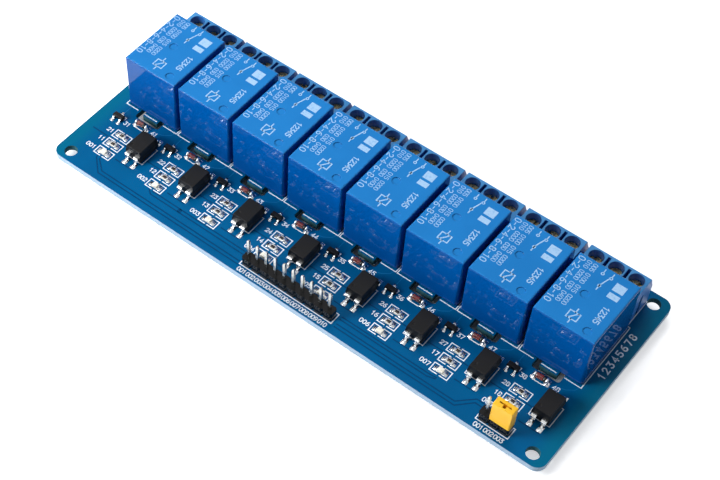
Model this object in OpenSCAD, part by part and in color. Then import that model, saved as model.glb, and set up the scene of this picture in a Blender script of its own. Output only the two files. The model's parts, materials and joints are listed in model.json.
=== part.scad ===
// Eight-channel relay module: sealed relays with screw terminals behind them, and in front
// of each relay its optocoupler, driver transistor, flyback diode, two resistors and LED.
// Origin: centre of the board outline, at the level of the trimmed pin tails.
// +X runs along the relay row, +Y towards the screw terminals, +Z up. Millimetres.

/* [Circuit board] */
// Thickness of the board
pcb_t = 1.6; // [0.8:0.2:2.4]
// Radius of the board's corners
pcb_corner_r = 2.5; // [1:0.5:3]
// Board beyond the relay row, at each end
pcb_end_margin = 3.88; // [3.8:0.1:8]
// Board behind the screw terminals
pcb_back_margin = 3.45; // [3.4:0.1:10]
// Diameter of the four mounting holes
mount_hole_d = 3.2; // [2:0.1:3.2]
// Mounting hole centre to the board's end
mount_inset_x = 3.65; // [2.6:0.05:3.65]
// Mounting hole centre to the board's front or back edge
mount_inset_y = 2.85; // [2.5:0.05:2.9]
// Length of the pin tails left under the board
tail_l = 2; // [1:0.1:3]
// Radial clearance of a pin in its plated hole
pin_hole_fit = 0.15; // [0.1:0.05:0.25]
// Solder that stands out round each pin
solder_w = 0.55; // [0.3:0.05:0.7]
// Height of the solder cone on each pin
solder_h = 1.1; // [0.6:0.1:1.5]

/* [Channels] */
// Number of relay channels
channel_count = 8; // [2:1:8]
// Sideways offset of the relay row from the board's centre
row_offset_x = -0.3; // [-0.5:0.1:0.2]
// Gap between neighbouring relays
relay_gap = 0.88; // [0.8:0.02:3]
// Board's front edge to the relays' front faces
relay_set_back = 23.05; // [23:0.05:28]

/* [Relay] */
// Width of a relay, along the row
relay_w = 15.4; // [15.2:0.1:18]
// Depth of a relay, front to back
relay_d = 19; // [18.5:0.1:22]
// Height of the relay housing
relay_h = 15.3; // [10:0.1:20]
// Height of the feet under the relay housing
relay_foot_h = 0.3; // [0.2:0.1:0.6]
// Lean of each housing wall over its height
relay_draft = 0.15; // [0.05:0.05:0.3]
// Radius of the housing's upright corners
relay_corner_r = 0.8; // [0.6:0.1:1.2]
// Radius of the edges round the housing's top
relay_top_r = 0.4; // [0.2:0.1:0.8]
// Common contact pin behind the relay's front face
relay_com_inset = 1.5; // [1.2:0.1:2]
// Coil pins behind the common contact pin
relay_coil_step = 2; // [1.8:0.1:2.5]
// Switched contact pins behind the common contact pin
relay_contact_step = 14.2; // [12:0.1:15]
// Coil and contact pins to each side of the relay's centre
relay_pin_side = 6; // [5.4:0.1:6.2]
// Width of a contact pin
relay_blade_w = 1; // [0.8:0.1:1.2]
// Thickness of a contact pin
relay_blade_t = 0.5; // [0.3:0.1:0.6]
// Diameter of a coil pin
relay_coil_pin_d = 0.7; // [0.5:0.1:0.8]
// Depth of a pin's socket in the relay's base
relay_socket_l = 2; // [1:0.1:4]
// Diameter of the round marks on the relay's top
relay_mark_d = 2; // [1:0.1:2.4]

/* [Screw terminals] */
// Poles in each terminal block
pole_count = 3; // [3:1:3]
// Distance between poles
pole_pitch = 5.08; // [4.95:0.01:5.08]
// Sideways offset of a block from its relay
terminal_offset_x = -0.55; // [-0.6:0.05:0]
// Least gap between a block's dovetail rib and the next block
terminal_side_gap = 0.2; // [0.1:0.05:0.25]
// Gap between a relay and its terminal block
terminal_gap = 1; // [0.6:0.1:3]
// Depth of a block at its foot
terminal_d = 7.8; // [7.6:0.1:9]
// Depth of a block at its top
terminal_top_d = 6.1; // [6.1:0.1:7]
// Height of a block
terminal_h = 10.2; // [9.6:0.1:12]
// Height of the upright part of the wire face
terminal_face_h = 6.3; // [6.3:0.1:7.5]
// Plastic under the wire clamps
terminal_floor_t = 1.5; // [1:0.1:1.8]
// Screw axis behind the block's front face
screw_inset = 3.9; // [3.8:0.1:4]
// Diameter of the screw wells
well_d = 3.6; // [3.5:0.05:3.8]
// Width of the slots between poles
slot_w = 0.75; // [0.4:0.05:0.9]
// Depth of the slots between poles
slot_h = 3.6; // [1:0.1:3.6]
// Diameter of a screw's head
screw_head_d = 3.3; // [3:0.05:3.4]
// Height of a screw's head
screw_head_h = 1.3; // [1:0.1:1.5]
// Diameter of a screw's shank
screw_d = 2.5; // [2:0.1:2.5]
// Screw head's top below the block's top
screw_sink = 2.1; // [1:0.1:2.3]
// Width of a wire clamp
clamp_w = 3.9; // [3.7:0.05:4]
// Depth of a wire clamp, front to back
clamp_d = 4.2; // [3.8:0.1:4.2]
// Height of a wire clamp
clamp_h = 4.7; // [4:0.1:4.7]
// Sheet thickness of a wire clamp
clamp_wall = 0.6; // [0.5:0.05:0.7]
// Width of a terminal's solder tail
terminal_tail_w = 1; // [0.8:0.05:1.1]
// Clearance round a wire clamp, a screw's shank and a tail in their housings
terminal_fit = 0.08; // [0.02:0.01:0.1]

/* [Pin headers] */
// Pitch of the pin headers
header_pitch = 2.54; // [2.54:0.01:2.6]
// Height and depth of a header's plastic base
header_base = 2.5; // [2.2:0.05:2.6]
// Side of a square header pin
header_pin_w = 0.64; // [0.5:0.02:0.7]
// Length of a header pin above its base
header_pin_l = 5.8; // [5.5:0.1:8]
// Tail of a header pin under the board
header_tail_l = 1.4; // [1.2:0.1:1.9]
// Header row behind the board's front edge
header_inset_y = 3.7; // [3.6:0.1:3.9]
// Supply header's centre, in from the board's right-hand end
supply_header_inset = 13.67; // [13:0.01:16]
// Plastic of the jumper cap over the pins' tips
jumper_roof = 0.3; // [0.2:0.1:1]
// Depth of the jumper cap, front to back
jumper_d = 2.45; // [2.2:0.05:2.6]
// Sheet thickness of the jumper's metal shunt
shunt_t = 0.2; // [0.15:0.05:0.25]

/* [Small parts] */
// Front edge of the board to the row of LEDs
led_row_y = 7.25; // [7.2:0.05:7.6]
// Step from the LED back to each resistor
chip_row_step = 3.21; // [2.6:0.01:3.3]
// LED and resistors, left of the relay's centre
chip_side = 1.5; // [1.2:0.1:1.7]
// Length of a chip resistor or LED
chip_l = 2; // [1.6:0.1:2.4]
// Width of a chip resistor or LED
chip_w = 1.25; // [0.8:0.05:1.6]
// Height of a chip resistor
resistor_h = 0.5; // [0.3:0.05:0.7]
// Height of an LED
led_h = 0.8; // [0.6:0.05:1.2]
// Optocoupler's centre, right of the relay's centre
opto_side = 5.44; // [5.2:0.1:5.6]
// Optocoupler's centre behind the board's front edge
opto_y = 13.2; // [13:0.1:13.4]
// Length of an optocoupler along the row
opto_w = 4.6; // [4.2:0.1:4.8]
// Depth of an optocoupler's body, across its leads
opto_d = 6.5; // [6:0.1:6.6]
// Height of an optocoupler's body
opto_h = 3.5; // [2.5:0.1:4]
// Gap under an optocoupler's body
opto_lift = 0.2; // [0.1:0.05:0.4]
// Transistor's centre, left of the relay's centre
transistor_side = 6.2; // [6.1:0.1:6.3]
// Transistor's centre in front of the relay's face
transistor_y = 5.23; // [5.1:0.1:5.4]
// Length of a transistor's body
transistor_w = 2.9; // [2.6:0.1:3.1]
// Depth of a transistor's body
transistor_d = 1.3; // [1.2:0.05:1.5]
// Height of a transistor's body
transistor_h = 1; // [0.8:0.05:1.2]
// Diode's axis in front of the relay's face
diode_y = 3.93; // [3.8:0.05:4]
// Length of a diode, with its end caps
diode_l = 3.5; // [3:0.1:3.7]
// Diameter of a diode's end caps
diode_d = 1.5; // [1.3:0.05:1.7]

/* [Isolation slots] */
// Width of the milled slot round each common contact
iso_slot_w = 1.4; // [1:0.1:1.6]
// Slot's front run in front of the relay's face
iso_slot_y = 1.75; // [1.6:0.05:1.9]
// Slot's arms to each side of the relay's centre
iso_slot_side = 2.9; // [2.7:0.1:3.2]

/* [Hidden] */
$fn = 32;
arc_steps = 5;
cut = 1;                        // how far a cutting tool runs past the face it opens

// Board
terminal_w = pole_count * pole_pitch;
rib_out = 0.75;                 // dovetail rib beyond the block's end
// a channel is as wide as its relay or its terminal block needs
channel_pitch = max(relay_w + relay_gap, terminal_w + rib_out + terminal_side_gap);
pcb_w = channel_count * channel_pitch + 2 * pcb_end_margin;
pcb_d = relay_set_back + relay_d + terminal_gap + terminal_d + pcb_back_margin;
pcb_front = -pcb_d / 2;
pcb_z = tail_l;                 // underside of the board
top_z = pcb_z + pcb_t;          // top face of the board
mount_x = pcb_w / 2 - mount_inset_x;
mount_y = pcb_d / 2 - mount_inset_y;

// Relays
relay_front = pcb_front + relay_set_back;
relay_z = top_z + relay_foot_h;
relay_rim_t = 0.7;              // wall of the housing round its sealed base
relay_recess_h = 0.6;           // how far the sealed base sits up inside the housing
relay_foot_d = 1.4;
relay_fit = 0.02;               // pin in its socket
relay_top_z = relay_z + relay_h;
mark_depth = 0.15;
mark_places = [[-0.9, 9.8], [4.6, 2.1]];   // from the relay's centre line and front face
relay_pin_top = relay_z + relay_recess_h + relay_socket_l;
relay_com_y = relay_front + relay_com_inset;

// Terminals
terminal_front = relay_front + relay_d + terminal_gap;
screw_y = terminal_front + screw_inset;
clamp_z = top_z + terminal_floor_t;
clamp_top = clamp_z + clamp_h;
screw_top = top_z + terminal_h - screw_sink;
screw_neck = screw_top - screw_head_h;
screw_l = screw_neck - (clamp_top - clamp_wall) + 1;   // shank reaches 1 mm into the clamp
wire_z = clamp_z + clamp_h / 2;
wire_w = clamp_w - 2 * clamp_wall;
wire_h = clamp_h - 2 * clamp_wall;
wire_bevel = 0.5;
rib_y = 3.1;                    // dovetail rib and groove behind the block's front face
rib_neck_w = 1.1;
rib_h = 7.2;
terminal_tail_t = 0.8;

// Headers
header_y = pcb_front + header_inset_y;
input_pin_count = channel_count + 2;
supply_pin_count = 3;
supply_x = pcb_w / 2 - supply_header_inset;
jumper_x = supply_x + header_pitch / 2;
jumper_z = top_z + header_base;
jumper_w = 2 * header_pitch - 0.1;
pin_head_room = 0.1;            // over the pins' tips inside the jumper cap
jumper_h = header_pin_l + pin_head_room + jumper_roof;
shunt_h = 3.4;
shunt_lift = 0.6;
header_chamfer = 0.4;
header_fit = 0.02;              // pin in its base or in the shunt

// Small parts
opto_mid_z = top_z + opto_lift + opto_h / 2;
opto_lead_t = 0.25;
opto_lead_w = 0.5;
opto_shoulder_w = 1.2;
opto_shoulder_l = 0.85;
opto_foot_l = 0.8;
opto_lead_side = 1.27;
opto_draft = 0.25;
transistor_lead_t = 0.15;
transistor_lead_w = 0.42;
transistor_lead_side = 0.95;
transistor_shoulder_l = 0.25;
transistor_foot_l = 0.4;
transistor_lift = 0.05;
transistor_draft = 0.1;
diode_glass_d = diode_d - 0.12;
diode_cap_l = 0.45;
chip_cap_l = 0.4;
chip_cap_h = 0.04;
led_base_h = 0.3;

CHANNELS = [1 : channel_count];

// Centre of channel k's relay, and of its terminal block's pole j
function channel_x(k) = row_offset_x + (k - (channel_count + 1) / 2) * channel_pitch;
function pole_x(k, j) = channel_x(k) + terminal_offset_x + (j - (pole_count - 1) / 2) * pole_pitch;
function header_x(centre, count, i) = centre + (i - (count - 1) / 2) * header_pitch;
// Places of the contact pins and coil pins of channel k
function contact_places(k) = [
    [channel_x(k), relay_com_y],
    for (side = [-1, 1]) [channel_x(k) + side * relay_pin_side, relay_com_y + relay_contact_step]];
function coil_places(k) = [
    for (side = [-1, 1]) [channel_x(k) + side * relay_pin_side, relay_com_y + relay_coil_step]];
function terminal_places(k) = [for (j = [0 : pole_count - 1]) [pole_x(k, j), screw_y]];
function arc(x, y, r, from, to) =
    [for (i = [0 : arc_steps]) let (a = from + (to - from) * i / arc_steps) [x + r * cos(a), y + r * sin(a)]];
function half_diagonal(w, d) = sqrt(w * w + d * d) / 2;

// ---- Shapes that repeat ----

module rounded_rect(w, d, r) {
    square([w - 2 * r, d], center = true);
    square([w, d - 2 * r], center = true);
    for (x = [-1, 1], y = [-1, 1])
        translate([x * (w / 2 - r), y * (d / 2 - r)]) circle(r);
}

// Upright outline of a moulded body: walls that lean in, and round top edges
module leaning_outline(w, h, lean, r) {
    polygon(concat(
        [[-w / 2, 0], [w / 2, 0]],
        arc(w / 2 - lean - r, h - r, r, 0, 90),
        arc(-w / 2 + lean + r, h - r, r, 90, 180)));
}

// Outline of a body moulded in two halves: widest at its middle, drafted both ways
module waisted_outline(w, h, lean) {
    polygon([[-w / 2 + lean, 0], [w / 2 - lean, 0], [w / 2, h / 2],
             [w / 2 - lean, h], [-w / 2 + lean, h], [-w / 2, h / 2]]);
}

// Two upright outlines, one seen from the front and one from the side, meet in one body
module cross_extrude(w, d) {
    intersection() {
        translate([0, d / 2 + cut, 0]) rotate([90, 0, 0]) linear_extrude(d + 2 * cut) children(0);
        translate([-w / 2 - cut, 0, 0]) rotate([90, 0, 90]) linear_extrude(w + 2 * cut) children(1);
    }
}

module block(w, d, h) {
    translate([-w / 2, -d / 2, 0]) cube([w, d, h]);
}

// Bent lead: out from the body, down, and out again as a foot; runs towards +Y from y = 0
module lead_outline(t, shoulder_z, shoulder_l, foot_l) {
    r = t;
    polygon(concat(
        [[0, shoulder_z - t / 2]],
        arc(shoulder_l - t - r, shoulder_z - t / 2 - r, r, 90, 0),
        arc(shoulder_l + r, t + r - t, r + t, 180, 270),
        [[shoulder_l + r + foot_l - r, -t], [shoulder_l + foot_l, 0]],
        arc(shoulder_l + r, r, r, 270, 180),
        arc(shoulder_l - t - r, shoulder_z - t / 2 - r, r + t, 0, 90),
        [[0, shoulder_z + t / 2]]));
}

// ---- Circuit board ----

module isolation_slot(k) {
    y0 = relay_front - iso_slot_y;
    y1 = relay_com_y + relay_coil_step;
    translate([channel_x(k), 0]) {
        translate([-iso_slot_side, y0 - iso_slot_w / 2]) square([2 * iso_slot_side, iso_slot_w]);
        for (side = [-1, 1]) translate([side * iso_slot_side, 0]) {
            translate([-iso_slot_w / 2, y0]) square([iso_slot_w, y1 - y0]);
            for (y = [y0, y1]) translate([0, y]) circle(d = iso_slot_w);
        }
    }
}

module pin_hole(place, across) {
    translate([place[0], place[1], pcb_z - cut]) cylinder(d = across + 2 * pin_hole_fit, h = pcb_t + 2 * cut);
}

module circuit_board() {
    color("#0a5aa0") difference() {
        translate([0, 0, pcb_z]) linear_extrude(pcb_t) difference() {
            rounded_rect(pcb_w, pcb_d, pcb_corner_r);
            for (k = CHANNELS) isolation_slot(k);
        }
        for (x = [-1, 1], y = [-1, 1])
            translate([x * mount_x, y * mount_y, pcb_z - cut]) cylinder(d = mount_hole_d, h = pcb_t + 2 * cut);
        for (k = CHANNELS) {
            for (p = contact_places(k)) pin_hole(p, 2 * half_diagonal(relay_blade_w, relay_blade_t));
            for (p = coil_places(k)) pin_hole(p, relay_coil_pin_d);
            for (p = terminal_places(k)) pin_hole(p, 2 * half_diagonal(terminal_tail_w, terminal_tail_t));
        }
        for (i = [0 : input_pin_count - 1])
            pin_hole([header_x(0, input_pin_count, i), header_y], 2 * half_diagonal(header_pin_w, header_pin_w));
        for (i = [0 : supply_pin_count - 1])
            pin_hole([header_x(supply_x, supply_pin_count, i), header_y],
                     2 * half_diagonal(header_pin_w, header_pin_w));
    }
}

// ---- Relays ----

module relay_housing() {
    intersection() {
        cross_extrude(relay_w, relay_d) {
            leaning_outline(relay_w, relay_h, relay_draft, relay_top_r);
            leaning_outline(relay_d, relay_h, relay_draft, relay_top_r);
        }
        linear_extrude(relay_h) rounded_rect(relay_w, relay_d, relay_corner_r);
    }
    foot_x = relay_w / 2 - relay_foot_d;
    foot_y = relay_d / 2 - relay_foot_d;
    for (x = [-1, 1], y = [-1, 1])
        translate([x * foot_x, y * foot_y, -relay_foot_h]) cylinder(d = relay_foot_d, h = relay_recess_h + relay_foot_h);
}

module relay(k) {
    color("#2f7fc4") difference() {
        translate([channel_x(k), relay_front + relay_d / 2, relay_z]) difference() {
            relay_housing();
            // the sealed base sits up inside the housing, clear of the feet
            translate([0, 0, -relay_foot_h - cut]) intersection() {
                block(relay_w - 2 * relay_rim_t, relay_d - 2 * relay_rim_t, relay_recess_h + relay_foot_h + cut);
                union() {
                    block(relay_w, relay_d - 6 * relay_foot_d, relay_h);
                    block(relay_w - 6 * relay_foot_d, relay_d, relay_h);
                }
            }
            for (p = mark_places)
                translate([p[0], p[1] - relay_d / 2, relay_h - mark_depth]) cylinder(d = relay_mark_d, h = cut);
        }
        for (p = contact_places(k))
            translate([p[0], p[1], relay_z - cut])
                block(relay_blade_w + 2 * relay_fit, relay_blade_t + 2 * relay_fit,
                      relay_pin_top - relay_z + cut);
        for (p = coil_places(k))
            translate([p[0], p[1], relay_z - cut])
                cylinder(d = relay_coil_pin_d + 2 * relay_fit, h = relay_pin_top - relay_z + cut);
    }
}

module relay_pins() {
    color("#c9c6bd") for (k = CHANNELS) {
        for (p = contact_places(k))
            translate([p[0], p[1], 0]) block(relay_blade_w, relay_blade_t, relay_pin_top);
        for (p = coil_places(k))
            translate([p[0], p[1], 0]) cylinder(d = relay_coil_pin_d, h = relay_pin_top);
    }
}

// ---- Screw terminals ----

// Side view of a block: upright front, flat top, wire face that leans back in above the entries
module terminal_outline() {
    polygon([[0, 0], [terminal_d, 0], [terminal_d, terminal_face_h],
             [terminal_top_d, terminal_h], [0, terminal_h]]);
}

module dovetail(extra) {
    neck = rib_neck_w / 2 + extra;
    polygon([[-cut, -neck], [0, -neck], [rib_out + extra, -neck - rib_out / 2],
             [rib_out + extra, neck + rib_out / 2], [0, neck], [-cut, neck]]);
}

module wire_entry() {
    reach = terminal_d - screw_inset;
    // straight passage into the clamp, then a bevelled mouth at the wire face
    translate([-wire_w / 2, 0, -wire_h / 2]) cube([wire_w, reach + cut, wire_h]);
    translate([0, 0, -wire_h / 2 - wire_bevel - cut]) intersection() {
        linear_extrude(wire_h + 2 * (wire_bevel + cut))
            polygon([[-wire_w / 2, reach - wire_bevel], [wire_w / 2, reach - wire_bevel],
                     [wire_w / 2 + wire_bevel + cut, reach + cut], [-wire_w / 2 - wire_bevel - cut, reach + cut]]);
        translate([-wire_w, 0, wire_h / 2 + wire_bevel + cut]) rotate([90, 0, 90]) linear_extrude(2 * wire_w)
            polygon([[reach - wire_bevel, -wire_h / 2], [reach + cut, -wire_h / 2 - wire_bevel - cut],
                     [reach + cut, wire_h / 2 + wire_bevel + cut], [reach - wire_bevel, wire_h / 2]]);
    }
}

module terminal_block(k) {
    left = pole_x(k, 0) - pole_pitch / 2;
    color("#5b9be8") difference() {
        union() {
            translate([left, terminal_front, top_z]) rotate([90, 0, 90]) linear_extrude(terminal_w)
                terminal_outline();
            translate([left, terminal_front + rib_y, top_z]) mirror([1, 0, 0]) linear_extrude(rib_h) dovetail(0);
        }
        translate([left + terminal_w, terminal_front + rib_y, top_z - cut]) mirror([1, 0, 0])
            linear_extrude(rib_h + cut + terminal_fit) dovetail(terminal_fit);
        for (p = terminal_places(k)) translate([p[0], p[1], 0]) {
            translate([0, 0, clamp_top]) cylinder(d = well_d, h = terminal_h);
            translate([0, 0, clamp_z]) block(clamp_w + 2 * terminal_fit, clamp_d + 2 * terminal_fit, clamp_h + terminal_fit);
            translate([0, 0, wire_z]) wire_entry();
            translate([0, 0, top_z - cut])
                block(terminal_tail_w + 2 * terminal_fit, terminal_tail_t + 2 * terminal_fit, terminal_floor_t + 2 * cut);
        }
        for (j = [1 : pole_count - 1])
            translate([pole_x(k, j) - pole_pitch / 2, terminal_front + terminal_top_d / 2, top_z + terminal_h - slot_h])
                block(slot_w, terminal_top_d - 2 * clamp_wall, slot_h + cut);
    }
}

module terminal_clamps() {
    color("#d8d5cc") for (k = CHANNELS, p = terminal_places(k)) translate([p[0], p[1], 0]) {
        difference() {
            translate([0, 0, clamp_z]) block(clamp_w, clamp_d, clamp_h);
            translate([0, 0, clamp_z + clamp_wall]) block(wire_w, clamp_d + 2 * cut, wire_h);
            translate([0, 0, wire_z]) cylinder(d = screw_d + 2 * terminal_fit, h = clamp_h);
        }
        block(terminal_tail_w, terminal_tail_t, clamp_z);
    }
}

module terminal_screws() {
    slot = screw_head_d / 5;
    color("#d9b25f") for (k = CHANNELS, j = [0 : pole_count - 1])
        translate([pole_x(k, j), screw_y, 0]) difference() {
            union() {
                translate([0, 0, screw_neck]) cylinder(d = screw_head_d, h = screw_head_h);
                translate([0, 0, screw_neck - screw_l]) cylinder(d = screw_d, h = screw_l + screw_head_h / 2);
            }
            // each screw was left turned a little differently
            translate([0, 0, screw_top - screw_head_h / 2]) rotate([0, 0, k * 37 + j * 61])
                block(screw_head_d + cut, slot, screw_head_h);
        }
}

// ---- Pin headers and jumper ----

// Row of eight-sided cells joined side by side, as moulded header strip is
module header_base_outline(count) {
    half = header_pitch / 2;
    for (i = [0 : count - 1]) translate([header_x(0, count, i), 0])
        polygon([[-half, -header_base / 2 + header_chamfer], [-half + header_chamfer, -header_base / 2],
                 [half - header_chamfer, -header_base / 2], [half, -header_base / 2 + header_chamfer],
                 [half, header_base / 2 - header_chamfer], [half - header_chamfer, header_base / 2],
                 [-half + header_chamfer, header_base / 2], [-half, header_base / 2 - header_chamfer]]);
}

module header_strip(centre, count) {
    translate([centre, header_y, top_z]) linear_extrude(header_base) difference() {
        header_base_outline(count);
        for (i = [0 : count - 1])
            translate([header_x(0, count, i), 0]) square(header_pin_w + 2 * header_fit, center = true);
    }
}

module pin_outline(l) {
    half = header_pin_w / 2;
    polygon([[-half, 0], [half, 0], [half, l - half], [half / 2, l], [-half / 2, l], [-half, l - half]]);
}

module header_pins_at(centre, count) {
    l = header_tail_l + pcb_t + header_base + header_pin_l;
    for (i = [0 : count - 1]) translate([header_x(centre, count, i), header_y, pcb_z - header_tail_l])
        cross_extrude(header_pin_w, header_pin_w) {
            pin_outline(l);
            pin_outline(l);
        }
}

module input_header() {
    color("#17171a") header_strip(0, input_pin_count);
}

module input_header_pins() {
    color("#d6d2c4") header_pins_at(0, input_pin_count);
}

module supply_header() {
    color("#17171a") header_strip(supply_x, supply_pin_count);
}

module supply_header_pins() {
    color("#d6d2c4") header_pins_at(supply_x, supply_pin_count);
}

// Plan of the folded shunt: a back strip with an open loop round each pin
module shunt_outline() {
    inner = header_pin_w + 2 * header_fit;
    outer = inner + 2 * shunt_t;
    difference() {
        square([header_pitch + outer, outer], center = true);
        for (side = [-1, 1]) translate([side * header_pitch / 2, 0]) square(inner, center = true);
        translate([-header_pitch / 2, -outer / 2 - cut]) square([header_pitch, outer / 2 + inner / 2 + cut]);
    }
}

module jumper_shunt() {
    color("#cfcabb") translate([jumper_x, header_y, jumper_z + shunt_lift]) linear_extrude(shunt_h) shunt_outline();
}

module jumper_cap() {
    inner = header_pin_w + 2 * header_fit + 2 * shunt_t + 2 * header_fit;
    color("#ffc62e") translate([jumper_x, header_y, jumper_z]) difference() {
        intersection() {
            cross_extrude(jumper_w, jumper_d) {
                leaning_outline(jumper_w, jumper_h, 0.05, 0.2);
                leaning_outline(jumper_d, jumper_h, 0.05, 0.2);
            }
            linear_extrude(jumper_h) rounded_rect(jumper_w, jumper_d, 0.3);
        }
        // pocket for the shunt, open below
        translate([0, 0, -cut]) block(header_pitch + inner, inner, cut + shunt_lift + shunt_h);
        // passages for the pins, up to the test slot in the top
        for (side = [-1, 1]) translate([side * header_pitch / 2, 0, 0])
            block(header_pin_w + 0.2, header_pin_w + 0.2, header_pin_l + pin_head_room);
        translate([0, 0.1, shunt_lift + shunt_h - cut]) block(header_pitch + 0.4, 0.4, jumper_h);
        translate([0, -0.35, shunt_lift + shunt_h - cut]) block(0.7, 0.9, jumper_h);
    }
}

// ---- Small parts ----

module optocoupler(k) {
    color("#1b1b1e") translate([channel_x(k) + opto_side, pcb_front + opto_y, top_z + opto_lift]) difference() {
        cross_extrude(opto_w, opto_d) {
            waisted_outline(opto_w, opto_h, opto_draft);
            waisted_outline(opto_d, opto_h, opto_draft);
        }
        // round mark beside pin 1
        translate([-opto_w / 2 + 1.1, -opto_d / 2 + 1.3, opto_h - 0.12]) cylinder(d = 0.8, h = cut);
    }
}

module optocoupler_leads() {
    mid = opto_mid_z - top_z;
    color("#d9d9d6") for (k = CHANNELS, face = [-1, 1], side = [-1, 1])
        translate([channel_x(k) + opto_side + side * opto_lead_side, pcb_front + opto_y + face * opto_d / 2, top_z])
            rotate([0, 0, face < 0 ? 180 : 0]) {
                // broad shoulder at the body, narrow leg and foot
                intersection() {
                    translate([-opto_shoulder_w / 2, 0, 0]) rotate([90, 0, 90]) linear_extrude(opto_shoulder_w)
                        translate([0, opto_lead_t]) lead_outline(opto_lead_t, mid - opto_lead_t, opto_shoulder_l, opto_foot_l);
                    union() {
                        translate([0, 0, mid / 2]) block(opto_shoulder_w, 4 * opto_shoulder_l, opto_h);
                        block(opto_lead_w, 4 * opto_shoulder_l + 4 * opto_foot_l, opto_h);
                    }
                }
            }
}

function transistor_centre(k) = [channel_x(k) - transistor_side, relay_front - transistor_y];

module transistors() {
    color("#1b1b1e") for (k = CHANNELS) translate(concat(transistor_centre(k), [top_z + transistor_lift]))
        cross_extrude(transistor_w, transistor_d) {
            waisted_outline(transistor_w, transistor_h, transistor_draft);
            waisted_outline(transistor_d, transistor_h, transistor_draft);
        }
}

module transistor_leads() {
    mid = transistor_lift + transistor_h / 2;
    color("#d9d9d6") for (k = CHANNELS, lead = [[-1, 1], [1, 1], [0, -1]])
        translate(concat(transistor_centre(k), [top_z]))
            translate([lead[0] * transistor_lead_side, -lead[1] * transistor_d / 2, 0])
                rotate([0, 0, lead[1] > 0 ? 180 : 0])
                    translate([-transistor_lead_w / 2, 0, transistor_lead_t]) rotate([90, 0, 90])
                        linear_extrude(transistor_lead_w)
                            lead_outline(transistor_lead_t, mid - transistor_lead_t, transistor_shoulder_l + transistor_lead_t, transistor_foot_l);
}

module flyback_diode(k) {
    color("#b4512f") translate([channel_x(k), relay_front - diode_y, top_z + diode_d / 2])
        rotate([0, 90, 0]) rotate_extrude() polygon([
            [0, -diode_l / 2], [diode_d / 2, -diode_l / 2], [diode_d / 2, -diode_l / 2 + diode_cap_l],
            [diode_glass_d / 2, -diode_l / 2 + diode_cap_l], [diode_glass_d / 2, diode_l / 2 - diode_cap_l],
            [diode_d / 2, diode_l / 2 - diode_cap_l], [diode_d / 2, diode_l / 2], [0, diode_l / 2]]);
}

module indicator_led(k) {
    lens_l = chip_l - 2 * chip_cap_l;
    color("#f4f2ea") translate([channel_x(k) - chip_side, pcb_front + led_row_y, top_z]) {
        block(chip_l, chip_w, led_base_h);
        translate([0, 0, led_base_h]) cross_extrude(lens_l, chip_w) {
            leaning_outline(lens_l, led_h - led_base_h, 0.1, 0.1);
            leaning_outline(chip_w, led_h - led_base_h, 0.05, 0.1);
        }
    }
}

module resistors() {
    color("#2a2a2c") for (k = CHANNELS, row = [1, 2])
        translate([channel_x(k) - chip_side, pcb_front + led_row_y + row * chip_row_step, top_z]) {
            block(chip_l - chip_cap_l, chip_w - 0.04, resistor_h - chip_cap_h);
            for (side = [-1, 1]) translate([side * (chip_l - chip_cap_l) / 2, 0, 0])
                block(chip_cap_l, chip_w, resistor_h);
        }
}

// ---- Solder ----

module solder_joint(place, w, d) {
    inner = half_diagonal(w, d);
    translate([place[0], place[1], pcb_z - solder_h]) difference() {
        cylinder(r1 = inner + solder_w / 5, r2 = inner + solder_w, h = solder_h);
        translate([0, 0, -cut]) block(w, d, solder_h + 2 * cut);
    }
}

module solder_joints() {
    color("#c4c6c8") {
        for (k = CHANNELS) {
            for (p = contact_places(k)) solder_joint(p, relay_blade_w, relay_blade_t);
            for (p = terminal_places(k)) solder_joint(p, terminal_tail_w, terminal_tail_t);
            for (p = coil_places(k)) translate([p[0], p[1], pcb_z - solder_h]) difference() {
                cylinder(r1 = relay_coil_pin_d / 2 + solder_w / 5, r2 = relay_coil_pin_d / 2 + solder_w, h = solder_h);
                translate([0, 0, -cut]) cylinder(d = relay_coil_pin_d, h = solder_h + 2 * cut);
            }
        }
        for (i = [0 : input_pin_count - 1])
            solder_joint([header_x(0, input_pin_count, i), header_y], header_pin_w, header_pin_w);
        for (i = [0 : supply_pin_count - 1])
            solder_joint([header_x(supply_x, supply_pin_count, i), header_y], header_pin_w, header_pin_w);
    }
}

circuit_board();
for (k = CHANNELS) {
    relay(k);
    terminal_block(k);
    optocoupler(k);
    flyback_diode(k);
    indicator_led(k);
}
relay_pins();
terminal_screws();
terminal_clamps();
transistors();
transistor_leads();
optocoupler_leads();
resistors();
input_header();
input_header_pins();
supply_header();
supply_header_pins();
jumper_cap();
jumper_shunt();
solder_joints();
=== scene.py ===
"""Eight-channel relay module, dressed for the studio.

Each sub-assembly is a class that reads its place from the CAD frame, builds its pieces in
millimetres and dresses them with finishes named for the real materials.
"""

from __future__ import annotations

import json
import logging
import math
from dataclasses import dataclass, field
from enum import Enum
from typing import Callable, Iterable, Sequence

import bmesh
import bpy
from mathutils import Matrix, Vector

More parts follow.
